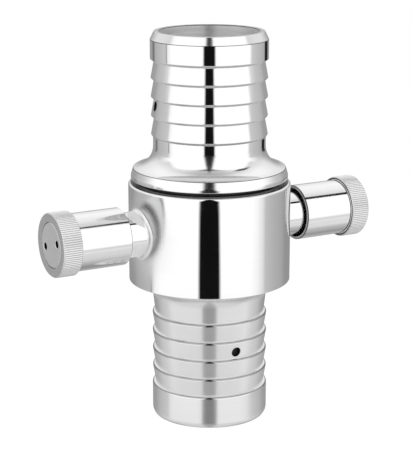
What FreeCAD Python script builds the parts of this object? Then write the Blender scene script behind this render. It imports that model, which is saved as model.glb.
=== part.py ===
"""Snap-in fire hose coupling, male and female halves joined, in millimetres.

The main axis is Z. The coupling stands on the end of the female hose tail, at z = 0, and the two
pull-out lugs lie along X. Heights are measured up from that end, and lug stations out from the main axis.
"""

import math
import os

import FreeCAD
import Part

Vector = FreeCAD.Vector

# Main sizes
overall_height = 214.5
waterway_r = 27.0
tail_r = 32.0
lug_z = 107.9
bore_edge_chamfer = 0.4
turn = 360.0
cut_margin = 1.0
shortest_edge = 1e-6

# Male half: hose tail
male_crest_r = 31.75
male_root_r = 30.1
male_land_r = 29.9
male_chamfer_height = 4.4
male_band_height = 10.4
male_rib_count = 4
male_rib_pitch = 10.23
male_step_height = 1.3
male_neck_r = 30.7
neck_fillet_r = 12.0

# Male half: shoulder flange and snap-in spigot
flange_r = 43.0
flange_rim_r = 42.2
flange_top_z = 140.3
flange_bulge_z = 138.8
flange_bulge_r = 4.0
flange_bottom_z = 134.5
flange_round_r = 0.5
shoulder_rise = 1.9
guide_r = 37.9
guide_bottom_z = 121.5
groove_r = 32.5
lip_r = 37.7
lip_top_z = 100.5
lip_bevel = 3.0
lip_bottom_z = 92.6
spigot_nose_r = 33.6
spigot_end_z = 91.2

# Female half: lug body
body_r = 44.5
body_top_z = 132.1
body_bottom_z = 77.5
body_top_round_r = 1.2
body_bottom_round_r = 0.4
socket_r = 38.2
socket_lead_in = 1.5
socket_floor_z = 85.5
washer_groove_r = 40.0
washer_groove_top_z = 91.4

# Female half: hose tail, screwed into the lug body
tail_flange_r = 40.0
tail_flange_height = 1.2
tail_flare_r = 8.0
female_neck_top_r = 32.3
female_neck_r = 30.3
female_root_r = 30.25
female_crest_z = 59.3
female_crest_round_r = 1.4
female_rib_pitch = 10.34
female_rib_count = 4
female_step_height = 0.2
female_end_inset = 1.0
female_end_taper = 1.35
female_end_round_r = 4.8
tail_spigot_r = 30.0
screw_fit = 0.05

# Rubber sealing washer
washer_bore_r = 27.6
washer_height = spigot_end_z - socket_floor_z
washer_lip_depth = 5.0
washer_lip_height = 1.6

# Anchor hole for the binding wire, one in each tail
wire_hole_r = 2.4
wire_hole_bottom_r = 28.4
male_wire_hole_z = 175.0
male_wire_hole_angle = 168.5
female_wire_hole_z = 42.6
female_wire_hole_angle = -91.4

# Lug barrel, cast on the lug body
barrel_r = 12.3
barrel_end = 81.5
barrel_fillet_r = 2.2
barrel_bore_r = 9.5
barrel_step = 46.0
seam_tolerance = 1e-3

# Plunger, keyed by the guide screw
nose_r = 7.0
nose_tip = 33.6
nose_edge_round = 0.8
bevel_angle = 40.0
bevel_start_height = -1.5
bevel_block = 4 * nose_r
running_fit = 0.05
stop_gap = 0.1
collar_end = 57.0
stem_r = 3.7
stem_shoulder = 85.0
stem_thread_r = 3.2
stem_end = 93.0
keyway_width = 4.2
keyway_bottom_r = 7.3

# Plunger spring
wire_r = 0.75
spring_mean_r = 6.6
spring_half_turns = 11
spring_end_gap = 0.02

# Spring retainer, screwed into the barrel's outer end
retainer_inner = 75.5
retainer_flange_r = 11.8
retainer_outer = 83.5
retainer_slot_width = 2.5
retainer_slot_depth = 1.2

# Guide screw through the barrel wall
guide_screw_station = 53.6
guide_screw_angle = 90.0
guide_screw_r = 1.95
guide_screw_tip_r = 7.6
guide_screw_head_r = 12.6
guide_screw_socket_r = 1.0
guide_screw_socket_depth = 1.4

# Pull sleeve with knurled head
sleeve_r = 15.5
sleeve_bore_r = 14.0
sleeve_mouth = 55.0
sleeve_edge = 0.3
head_r = 17.3
head_inner = 85.7
head_outer = 95.3
head_edge = 0.6
knurl_count = 90
knurl_depth = 0.35
recess_r = 12.3
recess_floor = 89.3

# Two-hole cap nut that holds the sleeve on the plunger stem
cap_nut_r = 12.1
cap_nut_outer = 95.2
cap_nut_edge = 0.3
cap_nut_thread_end = 93.2
spanner_hole_r = 2.0
spanner_hole_pitch_r = 7.7
spanner_hole_depth = 3.5
spanner_hole_angle = 196.0


def outline(points):
    """Closed wire in the XZ plane through (r, z) points; a third number is the radius of that corner."""
    corners = []
    count = len(points)
    for i, point in enumerate(points):
        at = Vector(point[0], 0, point[1])
        radius = point[2] if len(point) > 2 else 0.0
        if radius == 0.0:
            corners.append((at, None, at))
            continue
        back = (Vector(points[i - 1][0], 0, points[i - 1][1]) - at).normalize()
        following = points[(i + 1) % count]
        ahead = (Vector(following[0], 0, following[1]) - at).normalize()
        half_angle = back.getAngle(ahead) / 2
        reach = radius / math.tan(half_angle)
        middle = at + (back + ahead).normalize() * (radius / math.sin(half_angle) - radius)
        corners.append((at + back * reach, middle, at + ahead * reach))
    edges = []
    for i, (start, middle, end) in enumerate(corners):
        if middle is not None:
            edges.append(Part.Arc(start, middle, end).toShape())
        next_start = corners[(i + 1) % count][0]
        if end.distanceToPoint(next_start) > shortest_edge:
            edges.append(Part.LineSegment(end, next_start).toShape())
    return Part.Wire(edges)


def turned(points):
    """Solid turned about Z from a closed (r, z) outline."""
    return Part.Face(outline(points)).revolve(Vector(0, 0, 0), Vector(0, 0, 1), turn)


def rod(radius, start, end):
    """Cylinder on Z from start to end."""
    return Part.makeCylinder(radius, end - start, Vector(0, 0, start))


def to_lug(shape, side):
    """Moves a piece built on Z to the lug axis: side +1 is the right lug, along +X, and -1 the left one.

    In the lug's own frame Z runs outwards, +X points down and +Y stays +Y. The left lug is the right
    one turned half round the main axis.
    """
    placed = shape.copy()
    placed.rotate(Vector(0, 0, 0), Vector(0, 1, 0), 90)
    placed.translate(Vector(0, 0, lug_z))
    if side < 0:
        placed.rotate(Vector(0, 0, 0), Vector(0, 0, 1), 180)
    return placed


def wire_hole(z, angle):
    """Drill for a blind binding-wire hole, pointing in from outside a tail."""
    drill = Part.makeCylinder(wire_hole_r, tail_r, Vector(wire_hole_bottom_r, 0, z), Vector(1, 0, 0))
    drill.rotate(Vector(0, 0, 0), Vector(0, 0, 1), angle)
    return drill


def male_tail_outline():
    """Outer (r, z) points of the male tail, down from its end: lead-in cone, plain band, then barbs."""
    band_top = overall_height - male_chamfer_height
    crest_z = band_top - male_band_height
    points = [(male_land_r, overall_height), (tail_r, band_top), (tail_r, crest_z)]
    for _ in range(male_rib_count):
        points.append((male_root_r, crest_z - male_step_height))
        crest_z -= male_rib_pitch
        points.append((male_crest_r, crest_z))
    points.append((male_neck_r, crest_z - male_step_height))
    return points


def male_half():
    """One turned piece: barbed tail, flared shoulder, flange, guide, snap groove and bevelled lip."""
    spigot = [
        (guide_r, flange_bottom_z),
        (guide_r, guide_bottom_z),
        (groove_r, guide_bottom_z),
        (groove_r, lip_top_z),
        (lip_r, lip_top_z),
        (lip_r, lip_bottom_z + lip_bevel),
        (lip_r - lip_bevel, lip_bottom_z),
        (spigot_nose_r, lip_bottom_z),
        (spigot_nose_r, spigot_end_z),
    ]
    shoulder = [
        (male_neck_r, flange_top_z + shoulder_rise, neck_fillet_r),
        (flange_rim_r, flange_top_z),
        (flange_r, flange_bulge_z, flange_bulge_r),
        (flange_r, flange_bottom_z, flange_round_r),
    ]
    bore = [
        (waterway_r, spigot_end_z),
        (waterway_r, overall_height - bore_edge_chamfer),
        (waterway_r + bore_edge_chamfer, overall_height),
    ]
    solid = turned(male_tail_outline() + shoulder + spigot + bore)
    return solid.cut(wire_hole(male_wire_hole_z, male_wire_hole_angle))


def barrel_seams(shape):
    """Edges where the lug barrels meet the round outside of the lug body."""
    found = []
    for edge in shape.Edges:
        spots = [edge.valueAt(u) for u in edge.ParameterRange]
        spots.append(edge.valueAt(sum(edge.ParameterRange) / 2))
        on_barrel = all(abs(math.hypot(p.y, p.z - lug_z) - barrel_r) < seam_tolerance for p in spots)
        on_body = all(abs(math.hypot(p.x, p.y) - body_r) < seam_tolerance for p in spots)
        if on_barrel and on_body:
            found.append(edge)
    return found


def lug_body():
    """Socket bowl with two lug barrels cast on it, bored for the plungers and for the hose tail."""
    outside = turned([
        (0, body_bottom_z),
        (body_r, body_bottom_z, body_bottom_round_r),
        (body_r, body_top_z, body_top_round_r),
        (0, body_top_z),
    ])
    for side in (1, -1):
        outside = outside.fuse(to_lug(rod(barrel_r, 0, barrel_end), side))
    outside = outside.removeSplitter()
    outside = outside.makeFillet(barrel_fillet_r, barrel_seams(outside))
    tail_hole_r = tail_spigot_r + screw_fit
    socket = turned([
        (0, body_bottom_z - cut_margin),
        (tail_hole_r, body_bottom_z - cut_margin),
        (tail_hole_r, socket_floor_z),
        (washer_groove_r + screw_fit, socket_floor_z),
        (washer_groove_r + screw_fit, washer_groove_top_z),
        (socket_r, washer_groove_top_z),
        (socket_r, body_top_z - socket_lead_in),
        (socket_r + socket_lead_in, body_top_z),
        (socket_r + socket_lead_in, body_top_z + cut_margin),
        (0, body_top_z + cut_margin),
    ])
    solid = outside.cut(socket)
    for side in (1, -1):
        solid = solid.cut(to_lug(rod(nose_r + running_fit, groove_r, barrel_step), side))
        solid = solid.cut(to_lug(rod(barrel_bore_r, barrel_step, barrel_end + cut_margin), side))
        solid = solid.cut(to_lug(guide_screw_blank(0), side))
    return solid


def female_hose_tail():
    """Turned tail with barbs facing up and a flared flange, screwed into the floor of the lug body."""
    points = [
        (tail_spigot_r, socket_floor_z),
        (tail_spigot_r, body_bottom_z),
        (tail_flange_r, body_bottom_z),
        (tail_flange_r, body_bottom_z - tail_flange_height),
        (female_neck_top_r, body_bottom_z - tail_flange_height, tail_flare_r),
        (female_neck_r, female_crest_z + female_step_height),
    ]
    crest_z = female_crest_z
    for _ in range(female_rib_count):
        points.append((tail_r, crest_z, female_crest_round_r))
        crest_z -= female_rib_pitch
        points.append((female_root_r, crest_z + female_step_height))
    points += [
        (tail_r, crest_z, female_crest_round_r),
        (tail_r, female_end_taper, female_end_round_r),
        (tail_r - female_end_inset, 0),
        (waterway_r + bore_edge_chamfer, 0),
        (waterway_r, bore_edge_chamfer),
        (waterway_r, socket_floor_z),
    ]
    return turned(points).cut(wire_hole(female_wire_hole_z, female_wire_hole_angle))


def sealing_washer():
    """Rubber ring on the socket floor, with a pressure lip cut in from its bore."""
    top_z = socket_floor_z + washer_height
    middle_z = socket_floor_z + washer_height / 2
    return turned([
        (washer_bore_r, socket_floor_z),
        (washer_groove_r, socket_floor_z),
        (washer_groove_r, top_z),
        (washer_bore_r, top_z),
        (washer_bore_r, middle_z + washer_lip_height / 2),
        (washer_bore_r + washer_lip_depth, middle_z),
        (washer_bore_r, middle_z - washer_lip_height / 2),
    ])


def plunger():
    """Nose bevelled on its upper side, keyed collar and threaded stem."""
    collar_r = barrel_bore_r - running_fit
    collar_start = barrel_step + stop_gap
    solid = turned([
        (0, nose_tip),
        (nose_r, nose_tip, nose_edge_round),
        (nose_r, collar_start),
        (collar_r, collar_start),
        (collar_r, collar_end),
        (stem_r, collar_end),
        (stem_r, stem_shoulder),
        (stem_thread_r, stem_shoulder),
        (stem_thread_r, stem_end),
        (0, stem_end),
    ])
    bevel = Part.makeBox(bevel_block, bevel_block, bevel_block)
    bevel.translate(Vector(-bevel_block, -bevel_block / 2, -bevel_block))
    bevel.rotate(Vector(0, 0, 0), Vector(0, 1, 0), bevel_angle - 90)
    bevel.translate(Vector(-bevel_start_height, 0, nose_tip))
    keyway = Part.makeBox(collar_r, keyway_width, collar_end - collar_start)
    keyway.translate(Vector(keyway_bottom_r, -keyway_width / 2, collar_start))
    keyway.rotate(Vector(0, 0, 0), Vector(0, 0, 1), guide_screw_angle - 90)
    return solid.cut(bevel).cut(keyway)


def spring():
    """Plunger spring round the stem, between the collar and the retainer.

    Each half turn of wire is an arc tilted by its own rise, so that the half turns join end to end.
    """
    start = collar_end + wire_r + spring_end_gap
    end = retainer_inner - wire_r - spring_end_gap
    rise = (end - start) / spring_half_turns
    half_turns = []
    for i in range(spring_half_turns):
        side = 1 - 2 * (i % 2)
        low = start + i * rise
        ring = Part.makeCircle(wire_r, Vector(side * spring_mean_r, 0, low), Vector(0, 1, 0))
        tilted_axis = Vector(side * rise, 0, 2 * spring_mean_r)
        section = Part.Face(Part.Wire(ring))
        half_turns.append(section.revolve(Vector(0, 0, low + rise / 2), tilted_axis, turn / 2))
    return half_turns[0].multiFuse(half_turns[1:]).removeSplitter()


def spring_retainer():
    """Flanged screw plug with two spanner slots, bored for the plunger stem."""
    solid = turned([
        (stem_r + running_fit, retainer_inner),
        (barrel_bore_r - screw_fit, retainer_inner),
        (barrel_bore_r - screw_fit, barrel_end),
        (retainer_flange_r, barrel_end),
        (retainer_flange_r, retainer_outer),
        (stem_r + running_fit, retainer_outer),
    ])
    slot = Part.makeBox(2 * barrel_r, retainer_slot_width, retainer_slot_depth)
    slot.translate(Vector(-barrel_r, -retainer_slot_width / 2, retainer_outer - retainer_slot_depth))
    return solid.cut(slot)


def guide_screw_blank(tip_r):
    """Rod of the guide screw's thread, from tip_r out to its head, at its place on the lug."""
    blank = Part.makeCylinder(
        guide_screw_r, guide_screw_head_r - tip_r, Vector(tip_r, 0, guide_screw_station), Vector(1, 0, 0)
    )
    blank.rotate(Vector(0, 0, 0), Vector(0, 0, 1), guide_screw_angle - 90)
    return blank


def guide_screw():
    """Socket set screw whose tip runs in the plunger's keyway."""
    socket = Part.makeCylinder(
        guide_screw_socket_r,
        barrel_r,
        Vector(guide_screw_head_r - guide_screw_socket_depth, 0, guide_screw_station),
        Vector(1, 0, 0),
    )
    socket.rotate(Vector(0, 0, 0), Vector(0, 0, 1), guide_screw_angle - 90)
    return guide_screw_blank(guide_screw_tip_r).cut(socket)


def knurl_grip():
    """Straight-knurled disc a little longer than the head: a star of V teeth run along the lug axis."""
    step = math.pi / knurl_count
    points = []
    for i in range(2 * knurl_count):
        radius = head_r - knurl_depth * (i % 2)
        points.append(Vector(radius * math.cos(i * step), radius * math.sin(i * step), head_inner))
    star = Part.Face(Part.makePolygon(points + points[:1]))
    return star.extrude(Vector(0, 0, head_outer - head_inner))


def pull_sleeve():
    """Thin sleeve over the barrel with a knurled head, recessed for the cap nut."""
    head = turned([
        (0, head_inner),
        (head_r - head_edge, head_inner),
        (head_r, head_inner + head_edge),
        (head_r, head_outer - head_edge),
        (head_r - head_edge, head_outer),
        (0, head_outer),
    ]).common(knurl_grip())
    inside = turned([
        (0, sleeve_mouth - cut_margin),
        (sleeve_bore_r, sleeve_mouth - cut_margin),
        (sleeve_bore_r, stem_shoulder),
        (stem_thread_r + running_fit, stem_shoulder),
        (stem_thread_r + running_fit, recess_floor),
        (recess_r, recess_floor),
        (recess_r, head_outer + cut_margin),
        (0, head_outer + cut_margin),
    ])
    tube = turned([
        (0, sleeve_mouth),
        (sleeve_r - sleeve_edge, sleeve_mouth),
        (sleeve_r, sleeve_mouth + sleeve_edge),
        (sleeve_r, head_inner),
        (0, head_inner),
    ])
    return tube.fuse(head).cut(inside)


def cap_nut():
    """Round nut on the stem's thread, closed outside, with two pin-spanner holes."""
    thread_r = stem_thread_r + running_fit
    solid = turned([
        (thread_r, recess_floor),
        (cap_nut_r, recess_floor),
        (cap_nut_r, cap_nut_outer - cap_nut_edge),
        (cap_nut_r - cap_nut_edge, cap_nut_outer),
        (0, cap_nut_outer),
        (0, cap_nut_thread_end),
        (thread_r, cap_nut_thread_end),
    ])
    for half_turn in (0, 180):
        hole = rod(spanner_hole_r, cap_nut_outer - spanner_hole_depth, cap_nut_outer + cut_margin)
        hole.translate(Vector(0, -spanner_hole_pitch_r, 0))
        hole.rotate(Vector(0, 0, 0), Vector(0, 0, 1), spanner_hole_angle - 180 + half_turn)
        solid = solid.cut(hole)
    return solid


def main():
    os.makedirs("parts", exist_ok=True)
    pieces = {
        "male_half": male_half(),
        "lug_body": lug_body(),
        "female_hose_tail": female_hose_tail(),
        "sealing_washer": sealing_washer(),
    }
    lug_pieces = {
        "plunger": plunger(),
        "plunger_spring": spring(),
        "spring_retainer": spring_retainer(),
        "guide_screw": guide_screw(),
        "pull_sleeve": pull_sleeve(),
        "cap_nut": cap_nut(),
    }
    for name, shape in lug_pieces.items():
        pieces["right_" + name] = to_lug(shape, 1)
        pieces["left_" + name] = to_lug(shape, -1)
    for name, shape in pieces.items():
        solid = shape.Solids[0] if len(shape.Solids) == 1 else shape
        solid.exportStep(f"parts/{name}.step")
        print(f"{name}: {len(shape.Solids)} solid, valid {solid.isValid()}, {solid.Volume / 1000:.2f} cm3")


main()
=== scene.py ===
import math

import bpy
import numpy as np
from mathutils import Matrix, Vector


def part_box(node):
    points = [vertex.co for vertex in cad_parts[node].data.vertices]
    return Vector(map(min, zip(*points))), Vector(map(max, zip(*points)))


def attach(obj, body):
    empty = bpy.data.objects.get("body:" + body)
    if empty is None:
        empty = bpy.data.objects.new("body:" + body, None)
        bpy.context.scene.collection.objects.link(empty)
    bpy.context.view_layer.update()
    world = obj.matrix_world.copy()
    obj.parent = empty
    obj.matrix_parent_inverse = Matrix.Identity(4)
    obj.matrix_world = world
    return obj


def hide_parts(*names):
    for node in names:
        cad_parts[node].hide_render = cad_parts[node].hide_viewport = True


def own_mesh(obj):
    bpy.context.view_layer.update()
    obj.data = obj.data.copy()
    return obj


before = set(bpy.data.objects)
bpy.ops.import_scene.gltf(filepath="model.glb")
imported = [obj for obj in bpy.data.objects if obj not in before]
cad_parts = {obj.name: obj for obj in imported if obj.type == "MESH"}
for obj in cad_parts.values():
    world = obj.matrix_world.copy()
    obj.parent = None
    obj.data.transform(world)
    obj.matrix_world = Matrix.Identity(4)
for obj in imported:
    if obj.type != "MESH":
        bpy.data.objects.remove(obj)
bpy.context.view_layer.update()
mm = 0.001
print("frame loaded:", len(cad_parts), "nodes")


def nodeBox(name):
    low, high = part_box(name)
    return np.array(low) / mm, np.array(high) / mm


# driving sizes in millimetres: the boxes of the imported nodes, then what several pieces share
maleLow, maleHigh = nodeBox("male_half")
bowlLow, bowlHigh = nodeBox("lug_body")
tailHigh = nodeBox("female_hose_tail")[1]
sleeveLow, sleeveHigh = nodeBox("right_pull_sleeve")
nutHigh = nodeBox("right_cap_nut")[1]
springLow, springHigh = nodeBox("right_plunger_spring")
lugZ = (sleeveLow[2] + sleeveHigh[2]) / 2
tailR = 32.0
waterwayR = 27.0
knurlTeeth = 90
holeLip = 0.2  # depth of the bevel under the rim of a drilled hole
arcStep = math.radians(10)  # longest piece of a rounded corner
arcLeast = 3  # fewest pieces of a rounded corner
arcHandle = 0.5523  # handle of a cubic that follows a quarter circle, as a share of its corner
up = np.array([0, 0, 1.0])
sides = ("left", "right")


def unit(vectors):
    return vectors / np.linalg.norm(vectors, axis=-1, keepdims=True)


def corner(r, z, bend=0.0, parts=1, finish=None, arc=None):
    # one corner of an outline, rounded to the radius bend; parts and finish serve the run that leaves it,
    # arc lists the finishes of the rounding alone, shared out evenly along it
    return {"r": r, "z": z, "bend": bend, "parts": parts, "finish": finish, "arc": arc}


def cornerArc(corners, i):
    # points and outward normals of one corner: a tangent arc where it is rounded, else the bare point
    at, before, after = (np.array([corners[k % len(corners)][a] for a in "rz"]) for k in (i, i - 1, i + 1))
    radius = corners[i]["bend"]
    if radius == 0:
        return at[None], None
    back, ahead = unit(before - at), unit(after - at)
    half = math.acos(back @ ahead) / 2
    centre = at + unit(back + ahead) * radius / math.sin(half)
    first = at + back * radius / math.tan(half) - centre
    last = at + ahead * radius / math.tan(half) - centre
    start = math.atan2(first[1], first[0])
    sweep = (math.atan2(last[1], last[0]) - start + math.pi) % (2 * math.pi) - math.pi
    steps = max(arcLeast, math.ceil(abs(sweep) / arcStep))
    angles = start + sweep * np.linspace(0, 1, steps + 1)
    spokes = np.stack([np.cos(angles), np.sin(angles)], axis=1)
    outward = np.array([back[1], -back[0]])
    return centre + radius * spokes, spokes * math.copysign(1, outward @ first)


def outline(corners, closed=True):
    # walks the corners with the metal on the right hand and gives rings (r, z) plus, for the strip
    # after each ring, the normals at its two ends and its finish
    arcs = [cornerArc(corners, i) for i in range(len(corners))]
    rings, first, last, finishes = [], [], [], []
    finish = corners[0]["finish"]
    runs = {}
    for i, (points, normals) in enumerate(arcs):
        finish = corners[i]["finish"] or finish
        if normals is not None:
            rings += list(points[:-1])
            first += list(normals[:-1])
            last += list(normals[1:])
            arc, steps = corners[i]["arc"] or [finish], len(points) - 1
            finishes += [arc[k * len(arc) // steps] for k in range(steps)]
        if not closed and i == len(corners) - 1:
            rings.append(points[-1])
            break
        goal = arcs[(i + 1) % len(corners)][0][0]
        along = goal - points[-1]
        parts = corners[i]["parts"]
        runs[i] = len(rings)
        rings += list(points[-1] + np.linspace(0, 1, parts + 1)[:-1, None] * along)
        square = unit(np.array([-along[1], along[0]]))
        first += [square] * parts
        last += [square] * parts
        finishes += [finish] * parts
    rings = np.array(rings)
    lengths = np.linalg.norm(np.diff(rings, axis=0), axis=1)
    return {"rings": rings, "first": np.array(first), "last": np.array(last), "finishes": finishes,
            "runs": runs, "along": np.concatenate([[0], np.cumsum(lengths)]), "closed": closed}


def newSheet(finishes):
    return {"points": [], "count": 0, "quads": [], "normals": [], "maps": [], "slots": [], "caps": [],
            "finishes": finishes}


def addRing(sheet, points):
    indices = sheet["count"] + np.arange(len(points))
    sheet["points"].append(points)
    sheet["count"] += len(points)
    return indices


def addStrip(sheet, ringA, ringB, finish, mapA, mapB, normalsA, normalsB, keep=None, wrap=False):
    # quads between two closed rings of equal count; wrap carries u over the seam
    def pair(a, b):
        return np.stack([a, np.roll(a, -1, axis=0), np.roll(b, -1, axis=0), b], axis=1)

    quads, normals, maps = pair(ringA, ringB), pair(normalsA, normalsB), pair(mapA, mapB)
    if wrap:
        maps[-1, 1:3, 0] += 1
    if keep is not None:
        quads, normals, maps = quads[keep], normals[keep], maps[keep]
    sheet["quads"].append(quads)
    sheet["normals"].append(normals)
    sheet["maps"].append(maps)
    sheet["slots"].append(np.full(len(quads), sheet["finishes"].index(finish)))


def addCap(sheet, ring, normal, finish):
    sheet["caps"].append((ring, np.array(normal, float), sheet["finishes"].index(finish)))


def spokesAt(angles):
    return np.stack([np.cos(angles), np.sin(angles), np.zeros_like(angles)], axis=-1)


def swing(r, z, theta):
    # points or normals (r, z) of an outline, swung round the main axis: r * spoke(theta) + z * up
    return np.asarray(r)[..., None] * spokesAt(theta) + np.asarray(z)[..., None] * up


def mapAt(u, v):
    # one row of the turned map: u runs round the piece, v along its outline in metres
    return np.stack([u, np.full_like(u, v)], axis=1)


def layRings(sheet, shape, segments):
    # turned surface: point (k, j) is the outline's ring k swung to theta_j
    theta = 2 * np.pi * np.arange(segments) / segments
    r, z = shape["rings"].T
    points = swing(r[:, None], z[:, None], theta)
    index = addRing(sheet, points.reshape(-1, 3)).reshape(len(r), segments)
    return {"index": index, "theta": theta, "keep": np.ones((len(r), segments), bool)}


def layStrips(sheet, shape, grid, swap=None):
    # joins the laid rings; swap may replace the normals of a ring, as on the knurl
    theta = grid["theta"]
    u = theta / (2 * np.pi)
    count = len(shape["rings"])
    for k in range(count if shape["closed"] else count - 1):
        n = (k + 1) % count
        normalsA, normalsB = (swing(*shape[end][k], theta) for end in ("first", "last"))
        if swap is not None:
            normalsA, normalsB = swap(k, normalsA), swap(n, normalsB)
        reach = shape["along"][k]
        stretch = np.linalg.norm(shape["rings"][n] - shape["rings"][k])
        mapA, mapB = mapAt(u, reach * mm), mapAt(u, (reach + stretch) * mm)
        addStrip(sheet, grid["index"][k], grid["index"][n], shape["finishes"][k], mapA, mapB,
                 normalsA, normalsB, grid["keep"][k], wrap=True)


def takeBlock(shape, grid, run, parts, halfColumns, angle):
    # takes a block of cells out of the grid, centred on angle; gives its rows, then the row, the column and
    # the point of each step round its border
    segments = len(grid["theta"])
    rows = shape["runs"][run] + np.arange(parts + 1)
    columns = round(angle / (2 * np.pi) * segments) + np.arange(-halfColumns, halfColumns + 1)
    grid["keep"][np.ix_(rows[:-1], columns[:-1] % segments)] = False
    m, n = len(columns) - 1, len(rows) - 1
    k = np.concatenate([np.full(m, rows[0]), rows[:-1], np.full(m, rows[-1]), rows[:0:-1]])
    j = np.concatenate([columns[:-1], np.full(n, columns[-1]), columns[:0:-1], np.full(n, columns[0])])
    return rows, k, j, grid["index"][k, j % segments]


def openWall(sheet, shape, grid, run, parts, halfColumns, angle, z, rimR, steps=6):
    # replaces a block of the wall by rays that run from a round rim to the block's border;
    # the rim is where a drill of radius rimR, pointing at angle and at height z, meets the wall
    rows, k, j, ring = takeBlock(shape, grid, run, parts, halfColumns, angle)
    turn = 2 * np.pi * j / len(grid["theta"]) - angle
    (r0, z0), (r1, z1) = shape["rings"][rows[0]], shape["rings"][rows[-1]]
    slope = (r1 - r0) / (z1 - z0)
    height = shape["rings"][k, 1]
    ray = np.arctan2(height - z, shape["rings"][k, 0] * np.sin(turn))
    rimHeight = z + rimR * np.sin(ray)
    rimTurn = np.arcsin(rimR * np.cos(ray) / (r0 + slope * (rimHeight - z0)))
    finish = shape["finishes"][rows[0]]
    tilt = shape["first"][rows[0]]
    reach = shape["along"][rows[0]]
    scale = math.hypot(1, slope) * math.copysign(1, z1 - z0)
    before = None
    for share in np.linspace(0, 1, steps + 1):
        zed = height + (rimHeight - height) * share
        theta = angle + turn + (rimTurn - turn) * share
        points = swing(r0 + slope * (zed - z0), zed, theta)
        normals = swing(*tilt, theta)
        maps = np.stack([theta / (2 * np.pi), (reach + scale * (zed - z0)) * mm], axis=1)
        if share > 0:
            fresh = addRing(sheet, points)
            addStrip(sheet, ring, fresh, finish, before[1], maps, before[0], normals)
            ring = fresh
        before = (normals, maps)
    return {"ring": ring, "ray": ray, "points": points, "normals": normals}


def drillAt(angle, z):
    # a drill that points out from the main axis, with the two directions across it
    return {"origin": z * up, "axis": spokesAt(angle), "side": spokesAt(angle + math.pi / 2), "rise": up}


def acrossDrill(drill, ray):
    return np.cos(ray)[:, None] * drill["side"] + np.sin(ray)[:, None] * drill["rise"]


def boreRing(sheet, drill, radius, depth, ray):
    # ring of the drill's own cylinder: depth runs along the drill axis, ray turns round it
    return addRing(sheet, drill["origin"] + depth * drill["axis"] + radius * acrossDrill(drill, ray))


def rayNormals(drill, ray, along, across):
    return unit(along * drill["axis"] + across * acrossDrill(drill, ray))


def drillPit(sheet, rim, drill, radius, floorDepth, wallFinish, floorFinish):
    # blind hole: a small lip under the rim, the wall, then a flat floor
    ray = rim["ray"]
    depth = (rim["points"] - drill["origin"]) @ drill["axis"] - holeLip
    lipRing = boreRing(sheet, drill, radius, depth[:, None], ray)
    lipNormals = rayNormals(drill, ray, 1, -1)
    inward = rayNormals(drill, ray, 0, -1)
    u = np.arange(len(ray)) / len(ray)
    levels = [mapAt(u, d) for d in (0, holeLip * mm, (holeLip + radius) * mm)]
    addStrip(sheet, rim["ring"], lipRing, wallFinish, levels[0], levels[1], lipNormals, lipNormals)
    floorRing = boreRing(sheet, drill, radius, floorDepth, ray)
    addStrip(sheet, lipRing, floorRing, floorFinish, levels[1], levels[2], inward, inward)
    addCap(sheet, floorRing, drill["axis"], floorFinish)


wireHole = {"parts": 8, "halfColumns": 4, "steps": 3}  # grid of the wall round a binding-wire hole


def wireHoleCorners(s, start, end):
    # the two corners that frame the hole on the slope from start to end, both given as (r, z)
    (r0, z0), (r1, z1) = start, end
    half = s["holeRim"] + s["holeMargin"]
    framed = []
    for z, parts in ((s["holeZ"] + half, wireHole["parts"]), (s["holeZ"] - half, 1)):
        share = (z0 - z) / (z0 - z1)
        framed.append(corner(r0 + share * (r1 - r0), z, parts=parts))
    return framed


def drillWireHole(sheet, shape, grid, run, s):
    rim = openWall(sheet, shape, grid, run, wireHole["parts"], wireHole["halfColumns"], s["holeAngle"],
                   s["holeZ"], s["holeRim"], steps=wireHole["steps"])
    # painted shade: the hole's lip takes the near-black edge finish, and its wall and floor the near-black
    # hole finish
    drillPit(sheet, rim, drillAt(s["holeAngle"], s["holeZ"]), s["holeR"], s["holeFloor"], "edgeSteel",
             "holePaintedShade")


def makePiece(sheet, name, body, nodes, turn=np.eye(3), shift=np.zeros(3)):
    # turns the sheet into a mesh object at its place, with faces wound to agree with their normals
    points = np.concatenate(sheet["points"]) @ turn.T + shift
    quads = np.concatenate(sheet["quads"])
    normals = np.concatenate(sheet["normals"]) @ turn.T
    maps = np.concatenate(sheet["maps"])
    across = np.cross(points[quads[:, 2]] - points[quads[:, 0]], points[quads[:, 3]] - points[quads[:, 1]])
    wrong = np.einsum("ij,ij->i", across, normals.sum(axis=1)) < 0
    quads[wrong], normals[wrong], maps[wrong] = quads[wrong, ::-1], normals[wrong, ::-1], maps[wrong, ::-1]
    faces, cornerNormals, cornerMaps = quads.tolist(), [normals.reshape(-1, 3)], [maps.reshape(-1, 2)]
    slots = list(np.concatenate(sheet["slots"]))
    for ring, normal, finishSlot in sheet["caps"]:
        normal = turn @ normal
        rim = points[ring]
        area = np.cross(rim - rim[0], np.roll(rim, -1, axis=0) - rim[0]).sum(axis=0)
        ring = ring if area @ normal > 0 else ring[::-1]
        faces.append(ring.tolist())
        cornerNormals.append(np.tile(normal, (len(ring), 1)))
        flat = points[ring] - rim.mean(axis=0)
        cornerMaps.append(flat[:, :2] * mm)
        slots.append(finishSlot)
    mesh = bpy.data.meshes.new(name)
    mesh.from_pydata((points * mm).tolist(), [], faces, shade_flat=False)
    mesh.polygons.foreach_set("material_index", np.array(slots, np.int32))
    layer = mesh.uv_layers.new(name="turned")
    layer.uv.foreach_set("vector", np.concatenate(cornerMaps).astype(np.float32).ravel())
    mesh.normals_split_custom_set(unit(np.concatenate(cornerNormals)).tolist())
    mesh.update()
    piece = bpy.data.objects.new(name, mesh)
    bpy.context.scene.collection.objects.link(piece)
    for finish in sheet["finishes"]:
        mesh.materials.append(materials[finish])
    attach(piece, body)
    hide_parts(*nodes)
    print("piece", name, len(points), "points", len(faces), "faces")
    return piece


# node helpers shared by the finishes, the floor and the studio

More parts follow.
